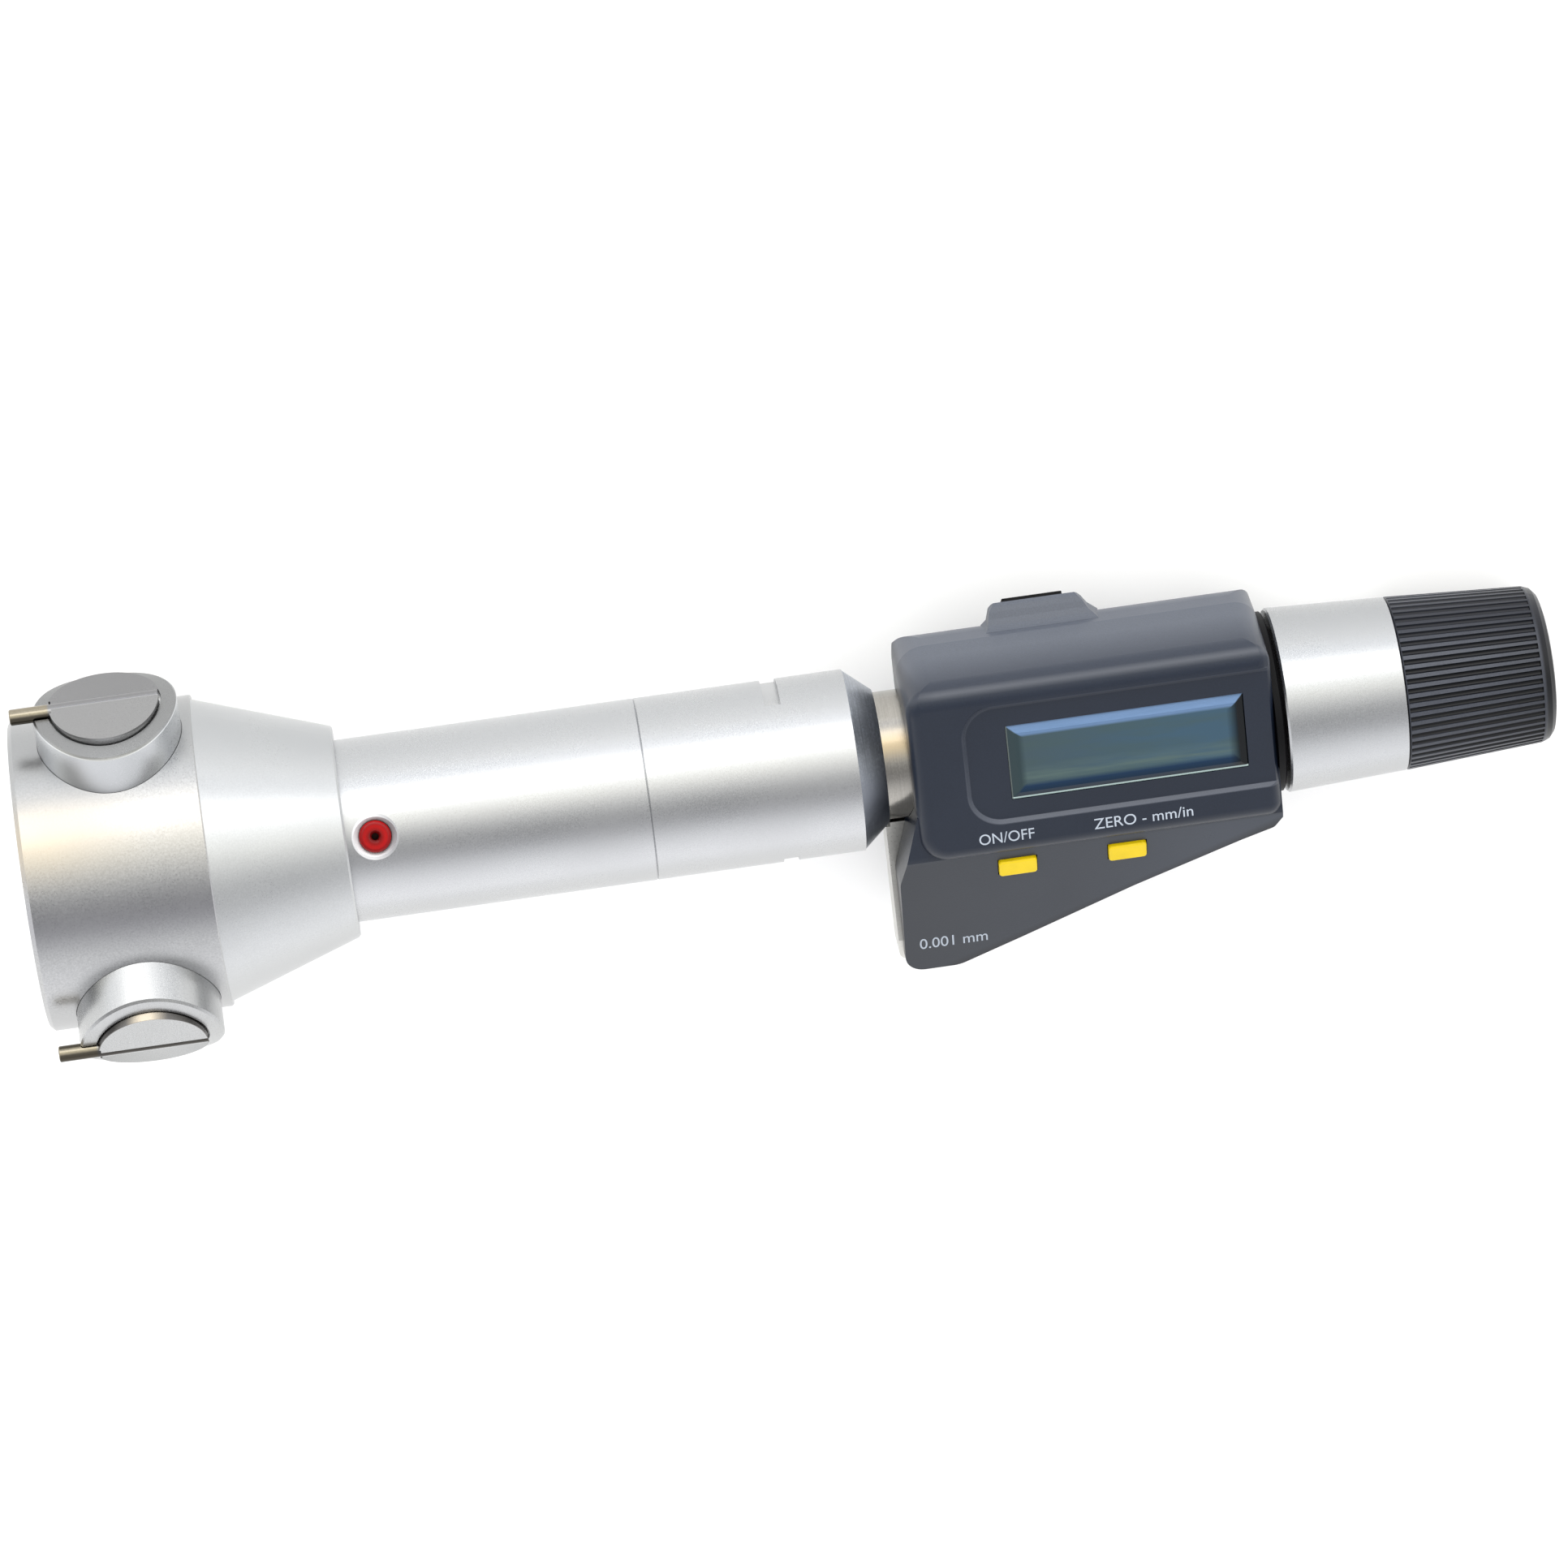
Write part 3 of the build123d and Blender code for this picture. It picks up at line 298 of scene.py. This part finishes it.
# painted shade on the collar round the display side and towards the floor, leaving its upper side brighter
f, p = band(M["collar"], -10.0, 50.0)
tinted(M["collar"], (0.22, 0.235, 0.27), f)
M["anvil"] = satin_metal("ground_anvil", (0.455, 0.460, 0.460), rough=0.27, grain=0.2, bump=0.005, lines=0.15)
w = satin_metal("ground_anvil_upper", (0.47, 0.475, 0.478), rough=0.30, grain=0.2, bump=0.006, var=0.14)
m, t, h, r = near_plunger(w, UPPER, 0.0, 6.85)
old = w.b.inputs["Base Color"].links[0].from_socket
fine = w.noise((5.0, 5.0, 5.0), 3.0, 0.6)
# painted shade on the upper plunger's end face: the facets on either side of the ridge in a lighter and a darker grey
face = w.mix(w.ramp(t, 0.35, 0.45, 0.0, 1.0), w.mix(fine, (0.255, 0.255, 0.257), (0.315, 0.315, 0.317)), w.mix(fine, (0.195, 0.195, 0.200), (0.245, 0.245, 0.250)))
c = w.mix(w.math("MULTIPLY", m, w.ramp(h, 23.9, 24.05, 0.0, 1.0)), old, face)
# painted shade on the ring crown
crown = w.math("MULTIPLY", w.ramp(r, 6.9, 6.95, 0.0, 1.0), w.ramp(h, 22.3, 22.6, 0.0, 1.0))
c = w.mix(crown, c, w.mix(fine, (0.225, 0.228, 0.230), (0.275, 0.278, 0.280)))
# painted highlight on the ring's outer wall
wall = w.ramp(r, 8.80, 8.86, 0.0, 1.0)
c = w.mix(wall, c, w.mix(fine, (0.520, 0.532, 0.545), (0.590, 0.602, 0.615)))
w.color(c)
M["anvil_upper"] = w
w = satin_metal("ground_anvil_side", (0.465, 0.470, 0.472), rough=0.27, grain=0.2, bump=0.005, lines=0.15)
# painted highlight and shade on the side plunger's boss wall: warm and bright at its middle, dark towards both ends
m, t, h, r = near_plunger(w, SIDE, 6.70, 6.86)
dx = w.math("ABSOLUTE", w.math("SUBTRACT", w.sep()["X"], 12.4), 0.0)
tinted(w, w.mix(w.ramp(dx, 0.6, 2.6, 0.0, 1.0), (0.46, 0.40, 0.31), (0.105, 0.098, 0.092)), w.math("MULTIPLY", m, w.ramp(h, 22.9, 23.1, 0.0, 0.9)))
# painted shade on the lower facet of the side plunger's end face
m, t, h, r = near_plunger(w, SIDE, 0.0, 6.80)
tinted(w, w.mix(w.ramp(w.sep()["X"], 7.0, 15.0, 0.0, 1.0), (0.190, 0.195, 0.195), (0.290, 0.295, 0.300)), w.math("MULTIPLY", w.math("MULTIPLY", m, w.ramp(h, 23.9, 24.05, 0.0, 0.9)), w.ramp(t, -0.75, -0.90, 0.0, 1.0)))
M["anvil_side"] = w
M["carbide"] = satin_metal("ground_carbide", (0.285, 0.255, 0.195), rough=0.09, grain=0.3, bump=0.002)
tinted(M["carbide"], (0.23, 0.23, 0.235), M["carbide"].ramp(M["carbide"].sep()["X"], 5.6, 5.9, 0.0, 1.0))
w = M["carbide"]
# painted shade on the pins' lower halves, darker where the surface faces downwards
tc = w.t.nodes.new("ShaderNodeTexCoord")
ns = w.t.nodes.new("ShaderNodeSeparateXYZ")
w.link(tc.outputs["Normal"], ns.inputs[0])
shade_facing_down = w.math("ADD", w.math("MULTIPLY", ns.outputs["Y"], -0.896), w.math("MULTIPLY", ns.outputs["Z"], 0.443))
tinted(w, (0.030, 0.026, 0.020), w.ramp(shade_facing_down, 0.10, 0.50, 0.0, 0.88))
M["inner"] = satin_metal("inner_steel", (0.5, 0.5, 0.5), rough=0.3, grain=0.25, bump=0.006, lines=0.3)
M["carrier"] = satin_metal("carrier_steel", (0.56, 0.555, 0.52), rough=0.32, grain=0.3, bump=0.006)
M["brass"] = satin_metal("guide_brass", (0.72, 0.56, 0.26), rough=0.28, grain=0.3, bump=0.006, lines=0.3)
M["shell"] = plastic("housing_moulding", (0.0066, 0.0108, 0.0212), rough=0.34, grain=0.17, bump=0.02, spec=0.45,
                     low=(0.0165, 0.0208, 0.0300), lit_top_tone=(0.050, 0.057, 0.073))
M["black"] = plastic("black_moulding", (0.0025, 0.0025, 0.003), rough=0.5, grain=0.2, bump=0.01, spec=0.12)
M["grip"] = plastic("grip_moulding", (0.0440, 0.0480, 0.0600), rough=0.34, grain=0.22, bump=0.012, spec=0.28)
w = M["grip"]
# painted shade in the flutes, darker the deeper the surface lies below the ribs
p = w.sep()
r = w.math("SQRT", w.math("ADD", w.math("MULTIPLY", p["Y"], p["Y"]), w.math("MULTIPLY", p["Z"], p["Z"])), 0.0)
depth = w.math("SUBTRACT", w.math("ADD", 10.9, w.math("MULTIPLY", w.math("SUBTRACT", p["X"], 171.4), -0.055)), r)
tinted(w, (0.0015, 0.0018, 0.0028), w.ramp(depth, 0.03, 0.20, 0.0, 0.97))
# painted shade on the upper side of the grip
f, p = band(w, 75.0, 45.0)
tinted(w, (0.006, 0.007, 0.011), w.math("MULTIPLY", f, 0.8))
M["yellow"] = smooth_piece("yellow_key", (0.68, 0.490, 0.002), rough=0.36, spec=0.30)
M["red"] = smooth_piece("red_lacquer", (0.25, 0.0008, 0.001), rough=0.16, coat=0.12)
# painted shade on the metals towards the back and towards the floor side
for key, back, floor_side_shade in (("satin", (0.330, 0.336, 0.342), (0.400, 0.402, 0.406)), ("adapter", (0.415, 0.426, 0.437), (0.455, 0.460, 0.464)),
                            ("barrel", (0.440, 0.450, 0.462), (0.450, 0.455, 0.460)), ("thimble", (0.410, 0.420, 0.432), (0.440, 0.445, 0.450))):
    w = M[key]
    f, p = band(w, 80.0, 42.0)
    tinted(w, back, w.math("MULTIPLY", f, 0.8))
    f, p = band(w, -48.0, 26.0)
    tinted(w, floor_side_shade, w.math("MULTIPLY", f, 0.7))
w = M["red"]
w.b.inputs["Specular IOR Level"].default_value = 0.18
m, t, h, r = near_plunger(w, math.radians(20.1), 0.0, 3.0, 43.06)
tinted(w, (0.030, 0.001, 0.001), w.ramp(r, 1.25, 0.35, 0.0, 1.0))
tinted(w, (0.16, 0.002, 0.003), w.math("MULTIPLY", w.ramp(r, 1.45, 1.60, 0.0, 0.8), w.ramp(r, 1.95, 1.80, 0.0, 1.0)))
w = M["barrel"]
# non-metallic countersink ring round the screw hole, with painted light and shade: lighter on the left, darker on the
# right
m, t, h, r = near_plunger(w, math.radians(20.1), 1.9, 2.86, 43.06)
m = w.math("MULTIPLY", m, w.ramp(h, 5.0, 7.0, 0.0, 1.0))
tinted(w, w.mix(w.ramp(w.sep()["X"], 42.6, 45.2, 0.0, 1.0), (0.50, 0.50, 0.51), (0.24, 0.24, 0.25)), m)
w.link(w.ramp(m, 0.0, 1.0, 1.0, 0.0), w.b.inputs["Metallic"])
M["key_steel"] = satin_metal("blackened_steel", (0.045, 0.020, 0.018), rough=0.4, grain=0.3)
M["pad"] = plastic("key_pad_rubber", (0.03, 0.03, 0.03), rough=0.7)
M["board"] = smooth_piece("board_lacquer", (0.02, 0.16, 0.06), rough=0.3)
M["display"] = smooth_piece("display_glass", (0.25, 0.3, 0.27), rough=0.15)
M["print"] = smooth_piece("white_print", (0.36, 0.40, 0.46), rough=0.5, spec=0.3)

w = Mat("display_lens")
w.set(Metallic=0.0)
w.b.inputs["Specular IOR Level"].default_value = 0.22
cloud = w.noise((0.10, 0.55, 0.3), 3.0, 0.55)
streak = w.noise((0.16, 1.6, 0.3), 2.0, 0.5)
s = w.sep()


def soft(v, k=0.06):
    return w.ramp(v, -k, k, 0.0, 1.0)


# distances from the four sides, each in widths of its bevel
nt = w.math("DIVIDE", w.math("SUBTRACT", 6.80, s["Y"]), 1.40)
nb = w.math("DIVIDE", w.math("ADD", s["Y"], 3.25), 1.95)
nl = w.math("DIVIDE", w.math("SUBTRACT", s["X"], 121.55), 1.75)
nr = w.math("DIVIDE", w.math("SUBTRACT", 151.15, s["X"]), 1.55)
sides = w.math("MINIMUM", nl, nr)
g = w.ramp(s["X"], 124.0, 141.0, 0.0, 1.0)
c = w.mix(g, (0.038, 0.061, 0.074), (0.034, 0.069, 0.102))
c = w.mix(w.ramp(cloud, 0.40, 0.72, 0.0, 0.6), c, (0.040, 0.066, 0.064))
glow = w.math("MULTIPLY", w.math("MULTIPLY", w.ramp(s["Y"], 1.4, -0.4, 0.0, 0.75), w.ramp(s["Y"], -0.4, -1.5, 1.0, 0.1)), w.ramp(streak, 0.30, 0.62, 0.25, 1.0))
c = w.mix(glow, c, (0.066, 0.100, 0.094))
# painted shade on the left, right and bottom bevels, painted sky reflection on the top bevel
c = w.mix(soft(w.math("SUBTRACT", 1.0, nl), 0.22), c, (0.021, 0.036, 0.041))
low_side = w.math("MULTIPLY", soft(w.math("SUBTRACT", 1.0, nb), 0.16), soft(w.math("SUBTRACT", sides, nb), 0.10))
c = w.mix(low_side, c, w.mix(w.ramp(nb, 0.2, 0.9, 0.0, 1.0), (0.003, 0.011, 0.020), (0.006, 0.022, 0.054)))
dark = w.math("MULTIPLY", soft(w.math("SUBTRACT", 1.0, nr), 0.45), soft(w.math("SUBTRACT", w.math("ADD", nt, 0.12), nr), 0.10))
c = w.mix(dark, c, (0.001, 0.002, 0.003))
top_side = w.math("MULTIPLY", soft(w.math("SUBTRACT", 1.0, nt), 0.12), soft(w.math("SUBTRACT", sides, nt), 0.06))
c = w.mix(top_side, c, w.mix(streak, (0.076, 0.136, 0.236), (0.106, 0.172, 0.298)))
# painted highlight line along the lens's bottom edge
c = w.mix(w.ramp(s["Y"], -2.93, -2.98, 0.0, 0.95), c, (0.36, 0.46, 0.45))
# painted highlight line along the lens's left edge
c = w.mix(w.ramp(s["X"], 121.72, 121.68, 0.0, 0.8), c, (0.12, 0.14, 0.135))
w.color(c)
w.rough(w.ramp(cloud, 0.3, 0.7, 0.09, 0.15))
w.bump(w.noise((0.25, 0.25, 0.25), 2.0, 0.5), 0.01, 0.2)
M["lens"] = w

KIND = {
    "head_body": "satin", "cone_adapter": "adapter", "barrel_front": "barrel", "barrel_rear": "barrel", "thimble": "thimble",
    "neck_sleeve": "neck", "end_collar": "collar", "housing_front": "shell", "housing_back": "shell", "battery_cap": "shell",
    "dust_ring": "black", "guide_sleeve": "black", "data_port_cover": "black", "data_connector": "black",
    "ratchet_grip": "grip", "grip_end_cap": "grip", "display_lens": "lens", "display_module": "display",
    "display_connector": "pad", "button_pad": "pad", "circuit_board": "board", "encoder_stator": "board",
    "encoder_rotor": "board", "button_left": "yellow", "button_right": "yellow", "red_seal": "red", "setting_screw": "key_steel",
    "carrier_frame": "carrier", "rod_guide_front": "brass", "rod_guide_rear": "brass", "spindle_nut": "brass",
}
for name, obj in N.items():
    kind = KIND.get(name)
    if kind is None:
        kind = name if name in ("anvil_upper", "anvil_side") else "anvil" if name.startswith("anvil") else "carbide" if name.startswith("carbide") else "inner"
    obj.data.materials.clear()
    obj.data.materials.append(M[kind].m)
    for p in obj.data.polygons:
        p.material_index = 0

# ------------------------------------------------------------------ printed labels


def label(name, text, x0, y, height, width=None, slope=False):
    """Printed text: its left end at x0 and base line at y, lying on the panel or on the wedge face."""
    cu = bpy.data.curves.new(name, "FONT")
    cu.body = text
    cu.size = 1.0
    cu.extrude = 0.006
    tmp = bpy.data.objects.new(name + "_curve", cu)
    bpy.context.scene.collection.objects.link(tmp)
    bpy.context.view_layer.update()
    me = bpy.data.meshes.new_from_object(tmp.evaluated_get(bpy.context.evaluated_depsgraph_get()))
    bpy.data.objects.remove(tmp)
    xs = [v.co.x for v in me.vertices]
    ys = [v.co.y for v in me.vertices]
    k = height / (max(ys) - min(ys))
    kx = k if width is None else width / (max(xs) - min(xs))
    me.transform(Matrix.Translation((-min(xs), -min(ys), 0)))
    me.transform(Matrix.Diagonal((kx, k, k, 1)))
    if slope:
        t = math.radians(22.0)
        z = 9.75 + (y + 11.2) * math.tan(t)
        local = Matrix.Translation((x0, y, z)) @ Matrix.Rotation(t, 4, "X") @ Matrix.Translation((0, 0, 0.004))
    else:
        local = Matrix.Translation((x0, y, 11.104))
    me.transform(UNIT @ local)
    ob = bpy.data.objects.new(name, me)
    bpy.context.scene.collection.objects.link(ob)
    me.materials.append(M["print"].m)
    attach(ob, "frame")
    return ob


label("print_left", "ON/OFF", 116.9, -8.75, 1.45, 6.9)
label("print_right", "ZERO - mm/in", 131.3, -8.75, 1.45, 12.4)
label("print_range", "0.001 mm", 108.6, -25.7, 1.9, 8.6, slope=True)

# ------------------------------------------------------------------ floor, light
floor_me = bpy.data.meshes.new("floor")
bm = bmesh.new()
bmesh.ops.create_grid(bm, x_segments=1, y_segments=1, size=6.0)
bm.to_mesh(floor_me)
bm.free()
floor = bpy.data.objects.new("floor", floor_me)
bpy.context.scene.collection.objects.link(floor)
floor.location = (0, 0, -0.0002)
fw = Mat("floor_paper")
fw.set(Metallic=0.0)
fw.b.inputs["Specular IOR Level"].default_value = 0.1
fn = fw.noise((0.02, 0.02, 0.02), 3.0, 0.5)
fw.color(fw.mix(fw.ramp(fn, 0.3, 0.7, 0.0, 1.0), (0.68, 0.68, 0.68), (0.70, 0.70, 0.70)))
fw.rough(fw.ramp(fn, 0.3, 0.7, 0.75, 0.85))
fw.b.inputs["Emission Color"].default_value = (1.0, 1.0, 1.0, 1.0)
fw.b.inputs["Emission Strength"].default_value = 0.27
floor_me.materials.append(fw.m)

world = bpy.data.worlds.new("studio")
bpy.context.scene.world = world
world.use_nodes = True
wt = world.node_tree
wt.nodes.clear()
wo = wt.nodes.new("ShaderNodeOutputWorld")
bg = wt.nodes.new("ShaderNodeBackground")
tc = wt.nodes.new("ShaderNodeTexCoord")
sp = wt.nodes.new("ShaderNodeSeparateXYZ")
at = wt.nodes.new("ShaderNodeMath")
at.operation = "ARCTAN2"
mr = wt.nodes.new("ShaderNodeMapRange")
mr.inputs["From Min"].default_value = -math.pi
mr.inputs["From Max"].default_value = math.pi
ramp = wt.nodes.new("ShaderNodeValToRGB")
wt.links.new(tc.outputs["Generated"], sp.inputs[0])
wt.links.new(sp.outputs["Y"], at.inputs[0])
wt.links.new(sp.outputs["Z"], at.inputs[1])
wt.links.new(mr.outputs["Result"], ramp.inputs["Fac"])
turn = wt.nodes.new("ShaderNodeMapRange")
turn.inputs["From Min"].default_value = 0.12
turn.inputs["From Max"].default_value = 0.45
turn.inputs["To Min"].default_value = 0.0
turn.inputs["To Max"].default_value = math.radians(10.0)
wt.links.new(sp.outputs["X"], turn.inputs["Value"])
add = wt.nodes.new("ShaderNodeMath")
add.operation = "ADD"
wt.links.new(at.outputs[0], add.inputs[0])
wt.links.new(turn.outputs["Result"], add.inputs[1])
wt.links.new(add.outputs[0], mr.inputs["Value"])
side = wt.nodes.new("ShaderNodeMapRange")
side.inputs["From Min"].default_value = 0.12
side.inputs["From Max"].default_value = 0.45
side.inputs["To Min"].default_value = 0.0
side.inputs["To Max"].default_value = 0.32
wt.links.new(sp.outputs["X"], side.inputs["Value"])
blend = wt.nodes.new("ShaderNodeMix")
blend.data_type = "RGBA"
blend.inputs[7].default_value = (0.55, 0.555, 0.56, 1.0)
wt.links.new(side.outputs["Result"], blend.inputs[0])
wt.links.new(ramp.outputs["Color"], blend.inputs[6])
wt.links.new(blend.outputs[2], bg.inputs["Color"])
wt.links.new(bg.outputs[0], wo.inputs[0])
# studio brightness by the angle from straight up towards +Y, in degrees
SKY = ((-180, 0.95, 0.95, 0.96), (-95, 1.30, 1.30, 1.31), (-80, 1.54, 1.54, 1.56), (-62, 1.47, 1.47, 1.50), (-46, 1.28, 1.285, 1.31),
       (-32, 0.98, 0.985, 1.01), (-19, 0.60, 0.60, 0.62), (-7, 0.46, 0.46, 0.47), (4, 0.55, 0.55, 0.55), (15, 0.92, 0.915, 0.90),
       (26, 1.34, 1.32, 1.25), (37, 1.84, 1.82, 1.68), (47, 2.00, 2.00, 1.93), (70, 2.00, 2.00, 2.00), (80, 1.68, 1.70, 1.74),
       (88, 1.50, 1.53, 1.58), (100, 1.25, 1.27, 1.32), (180, 0.95, 0.95, 0.96))
el = ramp.color_ramp.elements
while len(el) > 1:
    el.remove(el[-1])
for i, (deg, r, g, b) in enumerate(SKY):
    e = el[0] if i == 0 else el.new((deg + 180.0) / 360.0)
    e.position = (deg + 180.0) / 360.0
    e.color = (r * 0.5, g * 0.5, b * 0.5, 1.0)
bg.inputs["Strength"].default_value = 2.0


def area(name, direction, dist, size_x, size_y, power, color=(1, 1, 1), glossy=True):
    d = Vector(direction).normalized()
    la = bpy.data.lights.new(name, "AREA")
    la.shape = "RECTANGLE"
    la.size = size_x
    la.size_y = size_y
    la.energy = power
    la.color = color
    ob = bpy.data.objects.new(name, la)
    bpy.context.scene.collection.objects.link(ob)
    ob.location = d * dist
    ob.rotation_euler = d.to_track_quat("Z", "Y").to_euler()
    ob.visible_glossy = glossy
    return ob


area("overhead_bounce", (0.05, 0.0, 1.0), 1.9, 3.0, 3.0, 22.0, glossy=False)
area("side_fill", (0.05, 1.0, 0.13), 1.7, 2.2, 0.35, 34.0, glossy=False)
area("key_softbox", (0.05, 0.86, 0.52), 1.7, 2.6, 0.7, 6.0, (1.0, 0.985, 0.96))

scene = bpy.context.scene
scene.view_settings.view_transform = "Standard"
scene.view_settings.look = "None"
scene.view_settings.exposure = 0.0
scene.view_settings.gamma = 1.0
